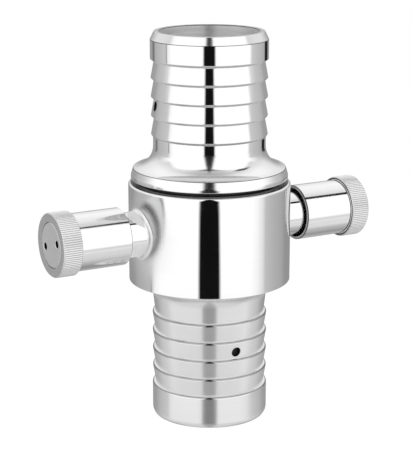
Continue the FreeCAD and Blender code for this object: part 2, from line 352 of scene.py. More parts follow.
def feed(tree, node, inputs):
    # links the values that are sockets and sets the others
    for key, value in inputs.items():
        if isinstance(value, bpy.types.NodeSocket):
            tree.links.new(value, node.inputs[key])
        else:
            node.inputs[key].default_value = value


def addNode(tree, kind, inputs=None, **settings):
    made = tree.nodes.new("ShaderNode" + kind)
    for key, value in settings.items():
        setattr(made, key, value)
    feed(tree, made, inputs or {})
    return made


def math2(tree, operation, a, b=0.0, clamp=False):
    made = addNode(tree, "Math", {0: a, 1: b}, operation=operation, use_clamp=clamp)
    return made.outputs[0]


def times(tree, a, b):
    return math2(tree, "MULTIPLY", a, b)


def plus(tree, a, b):
    return math2(tree, "ADD", a, b)


def ramp(tree, value, start, end, low=0.0, high=1.0, **settings):
    # start..end to low..high, level beyond both ends
    made = addNode(tree, "MapRange", {
        "Value": value, "From Min": start, "From Max": end, "To Min": low, "To Max": high}, **settings)
    return made.outputs["Result"]


def noise(tree, place, **inputs):
    return addNode(tree, "TexNoise", {"Vector": place, **inputs}).outputs["Fac"]


def relief(tree, height, look):
    made = addNode(tree, "Bump", {
        "Height": height, "Strength": look["bump"], "Distance": look["relief"] * mm})
    return made.outputs["Normal"]


def blend(tree, share, a, b):
    return addNode(tree, "Mix", {0: share, 2: a, 3: b}, data_type="FLOAT").outputs[0]


def tint(tree, share, a, b):
    return addNode(tree, "Mix", {0: share, 6: a, 7: b}, data_type="RGBA").outputs[2]


def newMaterial(name):
    made = bpy.data.materials.new(name)
    made.use_nodes = True
    return made, made.node_tree, made.node_tree.nodes["Principled BSDF"]


def piecewise(tree, value, stops):
    # straight runs through (place, level) stops: the first level plus one clamped ramp for each run
    total = stops[0][1]
    for (start, low), (end, high) in zip(stops, stops[1:]):
        if low != high:
            total = plus(tree, ramp(tree, value, start, end, 0.0, high - low), total)
    return total


def newGroup(name, inputs, outputs, given="Float"):
    # given is the kind of the inputs; the outputs are plain numbers
    tree = bpy.data.node_groups.new(name, "ShaderNodeTree")
    for names, way, kind in ((inputs, "INPUT", given), (outputs, "OUTPUT", "Float")):
        for socketName in names:
            tree.interface.new_socket(socketName, in_out=way, socket_type="NodeSocket" + kind)
    return tree, tree.nodes.new("NodeGroupInput").outputs, tree.nodes.new("NodeGroupOutput").inputs


markLook = {
    "layers": [("Fine", 1.0, 3.0), ("Broad", 0.13, 2.0)],  # socket, share of the line count, noise detail
    "around": 0.6, "grain": 0.6, "shares": {"Fine": 0.55, "Broad": 0.45},
    "unmappedTurns": 12.0,  # turns for each metre across a piece without a map
    "toothShade": [(0.2, 1.0), (0.45, 0.0), (0.55, 0.0), (0.8, 1.0)], "toothMarks": (0.7, 1.0),
    "middle": 0.5, "stretchTurn": 0.25,
}
handLook = {
    "cloud": {"Scale": 55.0, "Detail": 5.0, "Roughness": 0.62, "Distortion": 0.4}, "smudge": (0.42, 0.72),
    "squeeze": {"Rotation": (0.4, 0.9, 0.3), "Scale": (2600.0, 130.0, 130.0)}, "hairline": (0.68, 0.8),
}


def toolMarkGroup(s):
    # lathe or polishing lines: noise that is fine along the profile and slow around the piece
    tree, given, out = newGroup("tool marks", ["Along", "Around", "Lines per mm"], ["Fine", "Broad"])
    angle = times(tree, given["Around"], 2 * math.pi)
    fineAlong = times(tree, times(tree, given["Along"], 1 / mm), given["Lines per mm"])
    for socket, share, detail in s["layers"]:
        place = addNode(tree, "CombineXYZ", {
            "X": times(tree, fineAlong, share),
            "Y": times(tree, math2(tree, "COSINE", angle), s["around"]),
            "Z": times(tree, math2(tree, "SINE", angle), s["around"])})
        lines = noise(tree, place.outputs[0], Scale=1.0, Detail=detail, Roughness=s["grain"])
        tree.links.new(lines, out[socket])
    return tree


def handlingGroup(s):
    # faint smudges and short hairlines left by hands and packing
    tree, given, out = newGroup("handling", ["Place"], ["Smudge", "Hairline"], given="Vector")
    cloud = noise(tree, given["Place"], **s["cloud"])
    tree.links.new(ramp(tree, cloud, *s["smudge"]), out["Smudge"])
    squeezed = addNode(tree, "Mapping", {"Vector": given["Place"], **s["squeeze"]})
    scratch = noise(tree, squeezed.outputs[0], Scale=1.0, Detail=1.0)
    tree.links.new(ramp(tree, scratch, *s["hairline"]), out["Hairline"])
    return tree


toolMarks = toolMarkGroup(markLook)
handling = handlingGroup(handLook)


def steelFinish(name, look):
    # one recipe for every steel surface: tool marks and handling vary its colour, roughness and relief; some
    # looks also paint shade into the colour
    made, tree, shader = newMaterial(name)
    place = addNode(tree, "TexCoord").outputs["Object"]
    if look["mapped"]:
        split = addNode(tree, "SeparateXYZ", {0: addNode(tree, "UVMap", uv_map="turned").outputs[0]}).outputs
        along, around = split["Y"], split["X"]
    else:
        split = addNode(tree, "SeparateXYZ", {0: place}).outputs
        along, around = split["X"], times(tree, split["Y"], markLook["unmappedTurns"])
    marks = addNode(tree, "Group", {
        "Along": along, "Around": around, "Lines per mm": look["linesPerMm"]}, node_tree=toolMarks).outputs
    hands = addNode(tree, "Group", {"Place": place}, node_tree=handling).outputs
    fine, broad = (times(tree, marks[k], markLook["shares"][k]) for k in ("Fine", "Broad"))
    mixed = plus(tree, fine, broad)
    shade = mixed
    if "crisp" in look:
        middle, crisp = markLook["middle"], look["crisp"]
        shade = piecewise(tree, mixed, [(middle - crisp, 0.0), (middle + crisp, 1.0)])
    if "teeth" in look:
        # painted shade: darker in the valley of each tooth, halfway round its pitch
        phase = math2(tree, "FRACT", times(tree, around, look["teeth"]))
        shade = piecewise(tree, phase, markLook["toothShade"])
        shade = times(tree, shade, ramp(tree, mixed, 0, 1, *markLook["toothMarks"]))
    tone = tint(tree, shade, look["dark"], look["light"])
    if "echo" in look:
        # painted shade: camera rays see this steel in its dark colours, standing in for the shadow in a dark
        # slit, while other steel sees the slit's pale far side in the echo colour
        tone = tint(tree, addNode(tree, "LightPath").outputs["Is Camera Ray"], look["echo"], tone)
    worn = plus(tree, times(tree, hands["Smudge"], look["smudge"]),
                times(tree, hands["Hairline"], look["hairline"]))
    rough = plus(tree, ramp(tree, mixed, 0, 1, *look["rough"]), worn)
    if "haze" in look:
        # a hand-polished corner: added roughness round the lug axis, fading between two distances in mm
        amount, near, far = look["haze"]
        fromLug = addNode(tree, "VectorMath", {0: place, 1: (0, 0, lugZ * mm)},
                          operation="SUBTRACT").outputs[0]
        across = addNode(tree, "VectorMath", {0: fromLug, 1: (0, 1, 1)}, operation="MULTIPLY")
        away = addNode(tree, "VectorMath", {0: across.outputs[0]}, operation="LENGTH").outputs["Value"]
        rough = plus(tree, rough, piecewise(tree, away, [(near * mm, amount), (far * mm, 0.0)]))
    feed(tree, shader, {
        "Base Color": tone, "Roughness": rough, "Metallic": look["metallic"], "Anisotropic": look["stretch"],
        "Anisotropic Rotation": markLook["stretchTurn"], "Normal": relief(tree, marks["Fine"], look)})
    if look["stretch"] > 0:
        tangent = addNode(tree, "Tangent", direction_type="UV_MAP", uv_map="turned")
        tree.links.new(tangent.outputs[0], shader.inputs["Tangent"])
    return made


def grey(value):
    return (value, value, value, 1)


plainSteel = {"mapped": True, "linesPerMm": 3.0, "smudge": 0.03, "hairline": 0.0, "metallic": 1.0,
              "stretch": 0.0, "bump": 0.1, "relief": 0.02}


def steel(dark, light, rough, **changes):
    return dict(plainSteel, dark=grey(dark), light=grey(light), rough=rough, **changes)


steelLooks = {
    "mirrorSteel": steel(0.86, 0.93, (0.02, 0.05), linesPerMm=5.0, smudge=0.015, hairline=0.02, bump=0.02,
                         relief=0.01),
    # painted shade: steel in the slit between flange and bowl, near black to the camera as if in shadow, pale
    # to other rays
    "gapSteel": steel(0.03, 0.06, (0.26, 0.36), echo=grey(0.7)),
    "turnedSteel": steel(0.83, 0.91, (0.17, 0.25), linesPerMm=2.6, hairline=0.02, stretch=0.7, bump=0.08),
    "boreSteel": steel(0.8, 1.0, (0.42, 0.52), linesPerMm=0.4, smudge=0.02, stretch=0.9, bump=0.5,
                       relief=0.08, crisp=0.1),
    # painted shade: darker steel on the step under each barb crest, standing in for the shadow under the
    # crest
    "stepSteel": steel(0.44, 0.56, (0.2, 0.3)),
    # painted shade: near-black steel on thin edge rounds, chamfers and hole lips, standing in for the dark
    # lines of shade along them
    "edgeSteel": steel(0.08, 0.14, (0.2, 0.3)),
    # painted shade: darker steel on crest rounds and the sleeve mouth, standing in for the dark line of shade
    # along them
    "crestSteel": steel(0.36, 0.46, (0.1, 0.14), smudge=0.02, bump=0.05),
    # painted shade: the knurl's steel is coloured darker in each tooth valley
    "knurlSteel": steel(0.45, 0.98, (0.26, 0.34), hairline=0.02, metallic=0.8, teeth=knurlTeeth),
    "ringSteel": steel(0.57, 0.7, (0.34, 0.46), linesPerMm=4.0, smudge=0.05, hairline=0.03, bump=0.2),
    "gripSteel": steel(0.74, 0.88, (0.24, 0.34), smudge=0.04, hairline=0.03, bump=0.2),
    "facedSteel": steel(0.73, 0.86, (0.34, 0.46), linesPerMm=4.0, smudge=0.05, hairline=0.03, bump=0.2),
    # painted shade: near-black steel inside holes and the screw socket, standing in for the shadow in them
    "holePaintedShade": steel(0.012, 0.03, (0.45, 0.6), smudge=0.05, metallic=0.6, bump=0.2),
    "innerSteel": steel(0.5, 0.68, (0.22, 0.36), mapped=False, linesPerMm=2.5, smudge=0.04, hairline=0.02,
                        bump=0.2),
    "springWire": steel(0.36, 0.52, (0.25, 0.4), linesPerMm=1.2, smudge=0.05, hairline=0.02, bump=0.2),
}
steelLooks["bowlSteel"] = dict(steelLooks["mirrorSteel"], haze=(0.32, 14.0, 34.0))
steelLooks["softSteel"] = dict(steelLooks["mirrorSteel"], rough=(0.1, 0.14))
steelLooks["sleeveSteel"] = dict(steelLooks["mirrorSteel"], rough=(0.07, 0.1))
steelLooks["innerSteelMapped"] = dict(steelLooks["innerSteel"], mapped=True)
materials = {name: steelFinish(name, look) for name, look in steelLooks.items()}
print("steel finishes:", ", ".join(materials))


rubberLook = {
    "dark": (0.012, 0.012, 0.013, 1), "light": (0.035, 0.035, 0.036, 1), "grain": 900.0, "detail": 4.0,
    "rough": (0.5, 0.75), "bump": 0.3, "relief": 0.05,
}


def rubberFinish(s):
    # moulded rubber: fine even grain, slightly dusty
    made, tree, shader = newMaterial("sealRubber")
    place = addNode(tree, "TexCoord").outputs["Object"]
    grain = noise(tree, place, Scale=s["grain"], Detail=s["detail"])
    hands = addNode(tree, "Group", {"Place": place}, node_tree=handling)
    dust = times(tree, grain, hands.outputs["Smudge"])
    feed(tree, shader, {
        "Base Color": tint(tree, dust, s["dark"], s["light"]), "Normal": relief(tree, grain, s),
        "Roughness": ramp(tree, grain, 0, 1, *s["rough"])})
    return made


materials["sealRubber"] = rubberFinish(rubberLook)


# male half: barbed tail, flared shoulder, flange and the spigot inside the socket
male = {
    "segments": 240, "landR": 29.9, "leadIn": 4.4, "bandHeight": 10.4, "crestR": 31.75, "rootR": 30.1,
    "barbs": 4, "pitch": 10.23, "stepHeight": 1.3, "neckR": 30.7, "neckFillet": 12.0, "shoulderRise": 1.9,
    "flangeTop": 140.3, "rimR": 41.8, "rimRound": 0.4, "bulgeZ": 136.4, "bulgeRound": 3.0,
    "flangeBottom": 134.5, "flangeRound": 0.5, "guideR": 37.9,
    "guideBottom": 121.5, "grooveR": 32.5, "lipR": 37.7, "lipTop": 100.5, "lipBottom": 92.6, "lipBevel": 3.0,
    "noseR": 33.6, "leadRound": 0.8, "crestRound": 0.5, "rootRound": 0.35, "landRound": 0.3, "boreEdge": 0.4,
    "holeZ": 175.0, "holeAngle": math.radians(168.5), "holeR": 2.6, "holeRim": 2.75, "holeMargin": 0.1,
    "holeFloor": 28.4,
}


def buildMale(s):
    sheet = newSheet(["mirrorSteel", "softSteel", "stepSteel", "edgeSteel", "gapSteel", "boreSteel",
                      "facedSteel", "holePaintedShade"])
    topZ, flangeR, endZ = maleHigh[2], maleHigh[0], maleLow[2]
    bandTop = topZ - s["leadIn"]
    crestZ = bandTop - s["bandHeight"]
    corners = [
        # painted shade: the lead-in round, the flange rim round and the bore chamfer take the near-black edge
        # finish, and the faces under each crest take the darker step finish
        corner(s["landR"], topZ, s["landRound"], finish="softSteel"),
        corner(tailR, bandTop, s["leadRound"], arc=["edgeSteel"], finish="mirrorSteel"),
        corner(tailR, crestZ, s["crestRound"], arc=["mirrorSteel"], finish="stepSteel"),
    ]
    for _ in range(s["barbs"]):
        rootZ = crestZ - s["stepHeight"]
        crestZ -= s["pitch"]
        corners.append(corner(s["rootR"], rootZ, s["rootRound"], finish="mirrorSteel"))
        if crestZ < s["holeZ"] < rootZ:
            corners += wireHoleCorners(s, (s["rootR"], rootZ), (s["crestR"], crestZ))
            holeRun = len(corners) - 2
        corners.append(corner(s["crestR"], crestZ, s["crestRound"], arc=["mirrorSteel"], finish="stepSteel"))
    corners += [
        corner(s["neckR"], crestZ - s["stepHeight"], s["rootRound"], finish="mirrorSteel"),
        corner(s["neckR"], s["flangeTop"] + s["shoulderRise"], s["neckFillet"], finish="softSteel"),
        corner(s["rimR"], s["flangeTop"], s["rimRound"], arc=["edgeSteel"]),
        corner(flangeR, s["bulgeZ"], s["bulgeRound"]),
        # painted shade: the flange's underside and the guide cylinder under it take the near-black gap finish
        corner(flangeR, s["flangeBottom"], s["flangeRound"], arc=["mirrorSteel"], finish="gapSteel"),
        corner(s["guideR"], s["flangeBottom"], s["rootRound"]),
        corner(s["guideR"], s["guideBottom"], s["crestRound"], finish="mirrorSteel"),
        corner(s["grooveR"], s["guideBottom"], s["rootRound"]),
        corner(s["grooveR"], s["lipTop"], s["rootRound"]),
        corner(s["lipR"], s["lipTop"], s["crestRound"]),
        corner(s["lipR"], s["lipBottom"] + s["lipBevel"], s["crestRound"]),
        corner(s["lipR"] - s["lipBevel"], s["lipBottom"]),
        corner(s["noseR"], s["lipBottom"]),
        corner(s["noseR"], endZ, finish="facedSteel"),
        corner(waterwayR, endZ, finish="boreSteel"),
        corner(waterwayR, topZ - s["boreEdge"], finish="edgeSteel"),
        corner(waterwayR + s["boreEdge"], topZ, finish="softSteel"),
    ]
    shape = outline(corners)
    grid = layRings(sheet, shape, s["segments"])
    drillWireHole(sheet, shape, grid, holeRun, s)
    layStrips(sheet, shape, grid)
    makePiece(sheet, "maleHalf", "male_body", ["male_half"])


buildMale(male)


# female hose tail: flared flange, neck, barbs that face up and the plain end it stands on
tail = {
    "segments": 240, "spigotR": 30.0, "flangeHeight": 1.2, "flareR": 9.2, "neckTopR": 32.3, "neckR": 30.3,
    "rootR": 30.25, "crestZ": 59.3, "pitch": 10.34, "barbs": 4, "stepHeight": 0.2, "endInset": 1.0,
    "endTaper": 1.35, "endRound": 4.8, "crestRound": 1.4, "rootRound": 0.2, "boreEdge": 0.4,
    # painted shade: the middle of each crest round takes the darker crest finish
    "crestArc": ["mirrorSteel", "crestSteel", "crestSteel", "turnedSteel"],
    "holeZ": 42.6, "holeAngle": math.radians(-91.4), "holeR": 2.6, "holeRim": 2.75, "holeMargin": 0.3,
    "holeFloor": 28.4,
}


def buildTail(s):
    sheet = newSheet(["turnedSteel", "mirrorSteel", "crestSteel", "edgeSteel", "boreSteel", "holePaintedShade"])
    seatZ, flangeR, topZ = bowlLow[2], tailHigh[0], tailHigh[2]
    underZ = seatZ - s["flangeHeight"]
    crestZ = s["crestZ"]
    corners = [
        corner(waterwayR, topZ, finish="turnedSteel"),
        corner(s["spigotR"], topZ),
        corner(s["spigotR"], seatZ),
        corner(flangeR, seatZ),
        corner(flangeR, underZ),
        corner(s["neckTopR"], underZ, s["flareR"]),
        corner(s["neckR"], crestZ + s["stepHeight"], s["rootRound"]),
    ]
    for _ in range(s["barbs"]):
        corners.append(corner(tailR, crestZ, s["crestRound"], arc=s["crestArc"]))
        rootZ = crestZ - s["pitch"] + s["stepHeight"]
        if rootZ < s["holeZ"] < crestZ:
            corners += wireHoleCorners(s, (tailR, crestZ), (s["rootR"], rootZ))
            holeRun = len(corners) - 2
        corners.append(corner(s["rootR"], rootZ, s["rootRound"]))
        crestZ -= s["pitch"]
    corners += [
        corner(tailR, crestZ, s["crestRound"], arc=s["crestArc"]),
        corner(tailR, s["endTaper"], s["endRound"]),
        corner(tailR - s["endInset"], 0),
        corner(waterwayR + s["boreEdge"], 0),
        corner(waterwayR, s["boreEdge"], finish="boreSteel"),
    ]
    shape = outline(corners)
    grid = layRings(sheet, shape, s["segments"])
    drillWireHole(sheet, shape, grid, holeRun, s)
    layStrips(sheet, shape, grid)
    makePiece(sheet, "femaleHoseTail", "female_body", ["female_hose_tail"])


buildTail(tail)


# lug body: socket bowl with a bored barrel growing out of each side
bowl = {
    "segments": 192, "topRound": 1.2, "bottomRound": 0.4, "socketR": 38.2, "leadIn": 1.5, "floorZ": 85.5,
    "grooveR": 40.05, "grooveTop": 91.4, "tailHoleR": 30.05, "outerHalf": 20.0, "innerHalf": 16.0,
    "blockParts": 28, "barrelR": 12.3, "barrelFillet": 2.2, "filletSteps": 10, "boreR": 9.5, "boreStep": 46.0,
    "noseHoleR": 7.05, "barrelEdge": 0.3,
    "stripMap": 5, "seatMap": 2, "noseMap": 8,  # map lengths of the strips in the bore
}


def barrelFillet(s, drill, ray, bodyR):
    # in the half plane of each ray, a cubic arc leaves the bowl along its surface and lands on the barrel;
    # on the bowl the height over the main axis is sqrt(bodyR^2 - (rho cos ray)^2)
    rho = s["barrelR"] + s["barrelFillet"]
    foot = np.sqrt(bodyR**2 - (rho * np.cos(ray))**2)
    slope = -rho * np.cos(ray)**2 / foot
    knee = foot - slope * s["barrelFillet"]
    wall = np.full_like(foot, s["barrelR"])
    ends = np.array([[foot, np.full_like(foot, rho)], [knee + s["barrelFillet"], wall]])
    handles = ends + arcHandle * (np.array([knee, wall]) - ends)
    t = np.linspace(0, 1, s["filletSteps"] + 1)[:, None, None]
    curve = ((1 - t)**3 * ends[0] + 3 * (1 - t)**2 * t * handles[0] + 3 * (1 - t) * t**2 * handles[1]
             + t**3 * ends[1])
    tangent = (3 * (1 - t)**2 * (handles[0] - ends[0]) + 6 * (1 - t) * t * (handles[1] - handles[0])
               + 3 * t**2 * (ends[1] - handles[1]))
    outward = acrossDrill(drill, ray)
    points = drill["origin"] + curve[:, 0, :, None] * drill["axis"] + curve[:, 1, :, None] * outward
    down = tangent[:, 0, :, None] * drill["axis"] + tangent[:, 1, :, None] * outward
    around = np.roll(points, -1, axis=1) - np.roll(points, 1, axis=1)
    normals = unit(np.cross(around, down))
    normals *= np.sign(np.einsum("...i,...i", normals, outward + drill["axis"]))[..., None]
    return points, normals


def buildBowl(s):
    sheet = newSheet(["bowlSteel", "gapSteel", "mirrorSteel", "innerSteelMapped"])
    topZ, bottomZ, bodyR, barrelEnd = bowlHigh[2], bowlLow[2], bowlHigh[1], bowlHigh[0]
    corners = [
        # painted shade: the bowl's top face and its lead-in into the socket take the near-black gap finish
        corner(s["socketR"] + s["leadIn"], topZ, finish="gapSteel"),
        corner(bodyR, topZ, s["topRound"], finish="bowlSteel"),
        corner(bodyR, lugZ + s["outerHalf"], parts=s["blockParts"]),
        corner(bodyR, lugZ - s["outerHalf"]),
        corner(bodyR, bottomZ, s["bottomRound"]),
        corner(s["tailHoleR"], bottomZ, finish="innerSteelMapped"),
        corner(s["tailHoleR"], s["floorZ"]),
        corner(s["grooveR"], s["floorZ"]),
        corner(s["grooveR"], s["grooveTop"]),
        corner(s["socketR"], s["grooveTop"]),
        corner(s["socketR"], lugZ - s["innerHalf"], parts=s["blockParts"]),
        corner(s["socketR"], lugZ + s["innerHalf"]),
        corner(s["socketR"], topZ - s["leadIn"], finish="gapSteel"),
    ]
    outerRun, innerRun = 2, 10  # the corners where the two opened blocks start
    half = s["blockParts"] // 2
    shape = outline(corners)
    grid = layRings(sheet, shape, s["segments"])
    for angle in (0.0, math.pi):
        drill = drillAt(angle, lugZ)
        outer = openWall(sheet, shape, grid, outerRun, s["blockParts"], half, angle, lugZ,
                         s["barrelR"] + s["barrelFillet"])
        inner = openWall(sheet, shape, grid, innerRun, s["blockParts"], half, angle, lugZ, s["noseHoleR"])
        ray = outer["ray"]
        points, normals = barrelFillet(s, drill, ray, bodyR)
        u = np.arange(len(ray)) / len(ray)

        def level(depth):
            return mapAt(u, depth * mm)

        ring, before, depth = outer["ring"], outer["normals"], 0.0
        sideways = rayNormals(drill, ray, 0, 1)
        for k in range(1, len(points)):
            fresh = addRing(sheet, points[k])
            after = normals[k] if k < len(points) - 1 else sideways
            stretch = s["barrelFillet"] * math.pi / 2 / s["filletSteps"]
            addStrip(sheet, ring, fresh, "bowlSteel", level(depth), level(depth + stretch), before, after)
            ring, before, depth = fresh, after, depth + stretch
        edge = s["barrelEdge"]
        stops = [  # radius, station, normal along, normal across, finish
            (s["barrelR"], barrelEnd - edge, 0, 1, "mirrorSteel"),
            (s["barrelR"] - edge, barrelEnd, 1, 1, "mirrorSteel"),
            (s["boreR"], barrelEnd, 1, 0, "innerSteelMapped"),
            (s["boreR"], s["boreStep"], 0, -1, "innerSteelMapped"),
        ]
        for radius, station, alongN, acrossN, finish in stops:
            fresh = boreRing(sheet, drill, radius, station, ray)
            square = rayNormals(drill, ray, alongN, acrossN)
            addStrip(sheet, ring, fresh, finish, level(depth), level(depth + s["stripMap"]), square, square)
            ring, depth = fresh, depth + s["stripMap"]
        seat = boreRing(sheet, drill, s["noseHoleR"], s["boreStep"], inner["ray"])
        facing = rayNormals(drill, ray, 1, 0)
        addStrip(sheet, ring, seat, "innerSteelMapped", level(depth), level(depth + s["seatMap"]),
                 facing, facing)
        inward = rayNormals(drill, inner["ray"], 0, -1)
        addStrip(sheet, seat, inner["ring"], "innerSteelMapped", level(depth), level(depth + s["noseMap"]),
                 inward, inward)
    layStrips(sheet, shape, grid)
    makePiece(sheet, "lugBody", "female_body", ["lug_body"])


buildBowl(bowl)


# the lugs: in a lug's own frame z runs outwards, x points down and y stays level
lugTurns = {
    "right": np.array([[0, 0, 1.0], [0, 1, 0], [-1, 0, 0]]),
    "left": np.array([[0, 0, -1.0], [0, -1, 0], [-1, 0, 0]]),
}
lugShift = np.array([0, 0, lugZ])

sleeve = {
    "segments": 720, "tubeR": 15.5, "boreR": 14.0, "mouthEdge": 0.45, "headInner": 84.4, "headEdge": 0.6,
    "toothDepth": 0.35, "recessR": 12.3, "recessFloor": 89.3, "shoulder": 85.0, "stemHoleR": 3.25,
    "rootRound": 0.25, "edgeParts": 4, "knurlParts": 6,
    "knurlRuns": (1, 4), "cutLeast": 1e-6,  # first and last corner of the knurl, depth that counts as cut
}


def buildSleeve(s, side):
    sheet = newSheet(["sleeveSteel", "knurlSteel", "ringSteel", "edgeSteel", "crestSteel",
                      "innerSteelMapped"])
    headR, mouth, headOuter = sleeveHigh[1], sleeveLow[0], sleeveHigh[0]
    edge = s["headEdge"]
    corners = [
        corner(s["recessR"], headOuter, finish="ringSteel"),
        corner(headR - edge, headOuter, parts=s["edgeParts"], finish="knurlSteel"),
        corner(headR, headOuter - edge, parts=s["knurlParts"]),
        corner(headR, s["headInner"] + edge, parts=s["edgeParts"]),
        # painted shade: the head's inner face and the mouth chamfer take the near-black edge finish, and the
        # mouth face the darker crest finish
        corner(headR - edge, s["headInner"], finish="edgeSteel"),
        corner(s["tubeR"], s["headInner"], s["rootRound"], parts=s["edgeParts"], finish="sleeveSteel"),
        corner(s["tubeR"], mouth + s["mouthEdge"], finish="edgeSteel"),
        corner(s["tubeR"] - s["mouthEdge"], mouth, finish="crestSteel"),
        corner(s["boreR"], mouth, finish="innerSteelMapped"),
        corner(s["boreR"], s["shoulder"]),
        corner(s["stemHoleR"], s["shoulder"]),
        corner(s["stemHoleR"], s["recessFloor"]),
        corner(s["recessR"], s["recessFloor"], finish="ringSteel"),
    ]
    shape = outline(corners)
    grid = layRings(sheet, shape, s["segments"])
    # knurl: the head keeps the lower of its own radius and a wave of V teeth run along the lug
    theta = grid["theta"]
    phase = theta * knurlTeeth / (2 * np.pi) % 1
    wave = 1 - np.abs(2 * phase - 1)
    turning = np.isclose(wave, 0) | np.isclose(wave, 1)
    climb = np.where(turning, 0, np.sign(0.5 - phase)) * 2 * knurlTeeth / (2 * np.pi)
    toothR = headR - s["toothDepth"] * wave
    first, last = (shape["runs"][k] for k in s["knurlRuns"])
    rings = np.concatenate(sheet["points"]).reshape(len(shape["rings"]), s["segments"], 3)
    bare = np.linalg.norm(rings[first:last + 1, :, :2], axis=2)
    kept = np.minimum(bare, toothR)
    rings[first:last + 1, :, :2] *= (kept / bare)[..., None]
    sheet["points"] = [rings.reshape(-1, 3)]
    lean = (s["toothDepth"] * climb / headR)[:, None]
    toothNormals = unit(spokesAt(theta) + lean * spokesAt(theta + np.pi / 2))

    def knurled(k, normals):
        if not first <= k <= last:
            return normals
        cut = toothR < bare[k - first] - s["cutLeast"]
        flat = np.isclose(shape["rings"][k, 0], headR)
        return np.where(cut[:, None] | flat, toothNormals, normals)

    layStrips(sheet, shape, grid, knurled)
    makePiece(sheet, side + "PullSleeve", side + "_lug", [side + "_pull_sleeve"],
              lugTurns[side], lugShift)


nut = {
    "segments": 96, "innerR": 4.2, "blockR": 11.0, "blockParts": 10, "halfColumns": 7, "edge": 0.35,
    "recessFloor": 89.3, "threadR": 3.25, "threadEnd": 93.2, "holeR": 2.0, "holeRim": 2.2,
    "holePitchR": 7.7, "holeDepth": 3.5,
    "holeAngles": (math.radians(106), math.radians(286)),
}


def openFace(sheet, shape, grid, run, parts, halfColumns, angle, pitchR, rimR, steps=4):
    # the same trick as openWall on a flat face: rays run straight from the block's border to a round rim
    rows, k, j, ring = takeBlock(shape, grid, run, parts, halfColumns, angle)
    centre = swing(pitchR, shape["rings"][rows[0], 1], angle)
    border = swing(*shape["rings"][k].T, 2 * np.pi * j / len(grid["theta"]))
    offset = border - centre
    ray = np.arctan2(offset[:, 1], offset[:, 0])
    goal = centre + rimR * spokesAt(ray)
    normals = np.tile(up, (len(ray), 1))
    maps = border[:, :2] * mm
    for share in np.linspace(0, 1, steps + 1)[1:]:
        points = border + (goal - border) * share
        fresh = addRing(sheet, points)
        addStrip(sheet, ring, fresh, shape["finishes"][rows[0]], maps, points[:, :2] * mm, normals, normals)
        ring, maps = fresh, points[:, :2] * mm
    return {"ring": ring, "ray": ray, "points": goal, "centre": centre}


def buildNut(s, side):
    sheet = newSheet(["facedSteel", "gripSteel", "holePaintedShade", "innerSteelMapped"])
    outerR, outer = nutHigh[1], nutHigh[0]
    corners = [
        corner(s["innerR"], outer, parts=s["blockParts"], finish="facedSteel"),
        corner(s["blockR"], outer),
        corner(outerR - s["edge"], outer, finish="gripSteel"),
        corner(outerR, outer - s["edge"]),
        corner(outerR, s["recessFloor"], finish="innerSteelMapped"),
        corner(s["threadR"], s["recessFloor"]),
        corner(s["threadR"], s["threadEnd"]),
    ]
    shape = outline(corners, closed=False)
    grid = layRings(sheet, shape, s["segments"])
    for angle in s["holeAngles"]:
        rim = openFace(sheet, shape, grid, 0, s["blockParts"], s["halfColumns"], angle, s["holePitchR"],
                       s["holeRim"])
        drill = {"origin": rim["centre"] * np.array([1, 1, 0]), "axis": up,
                 "side": np.array([1.0, 0, 0]), "rise": np.array([0, 1.0, 0])}
        # painted shade: each pin hole's wall and floor take the near-black hole finish
        drillPit(sheet, rim, drill, s["holeR"], outer - s["holeDepth"], "facedSteel", "holePaintedShade")
    layStrips(sheet, shape, grid)
    addCap(sheet, grid["index"][0], (0, 0, 1), "facedSteel")
    addCap(sheet, grid["index"][-1], (0, 0, -1), "innerSteelMapped")
    makePiece(sheet, side + "CapNut", side + "_lug", [side + "_cap_nut"],
              lugTurns[side], lugShift)


screw = {
    "segments": 48, "radius": 1.95, "tip": 7.6, "head": 12.6, "edge": 0.25, "station": 53.6, "angle": 0.0,
    "socketR": 1.0, "socketDepth": 1.4, "faceShare": 1.16, "flatShare": 0.95,  # shares of the socket's radius
}


def buildScrew(s, side):
    # the socket's six flats: radius = flat / cos(angle to the nearest flat)
    sheet = newSheet(["gripSteel", "holePaintedShade"])
    corners = [
        corner(s["socketR"] * s["faceShare"], s["head"], finish="gripSteel"),
        corner(s["radius"] - s["edge"], s["head"]),
        corner(s["radius"], s["head"] - s["edge"]),
        corner(s["radius"], s["tip"] + s["edge"]),
        corner(s["radius"] - s["edge"], s["tip"]),
    ]
    shape = outline(corners, closed=False)
    grid = layRings(sheet, shape, s["segments"])
    layStrips(sheet, shape, grid)
    addCap(sheet, grid["index"][-1], (0, 0, -1), "gripSteel")
    theta = grid["theta"]
    sector = math.pi / 3
    aside = (theta + sector / 2) % sector - sector / 2
    flats = s["socketR"] * s["flatShare"] / np.cos(aside)
    toFlat = spokesAt(theta - aside)
    rim = addRing(sheet, swing(flats, s["head"], theta))
    floor = addRing(sheet, swing(flats, s["head"] - s["socketDepth"], theta))
    u = theta / (2 * np.pi)
    near, deep = (mapAt(u, d * mm) for d in (0.0, s["socketDepth"]))
    flatUp = np.tile(up, (len(theta), 1))
    addStrip(sheet, grid["index"][0], rim, "gripSteel", near, near, flatUp, flatUp, wrap=True)
    # painted shade: the socket's walls and floor take the near-black hole finish
    addStrip(sheet, rim, floor, "holePaintedShade", near, deep, -toFlat, -toFlat, wrap=True)
    addCap(sheet, floor, up, "holePaintedShade")
    out = spokesAt(s["angle"])
    aim = np.stack([up, np.cross(out, up), out], axis=1)
    turn = lugTurns[side] @ aim
    shift = lugTurns[side] @ (s["station"] * up) + lugShift
    makePiece(sheet, side + "GuideScrew", "female_body", [side + "_guide_screw"],
              turn, shift)


spring = {"wireR": 0.75, "meanR": 6.6, "turns": 5.5, "stepsPerTurn": 56, "tubeSegments": 18, "travel": 8.0}


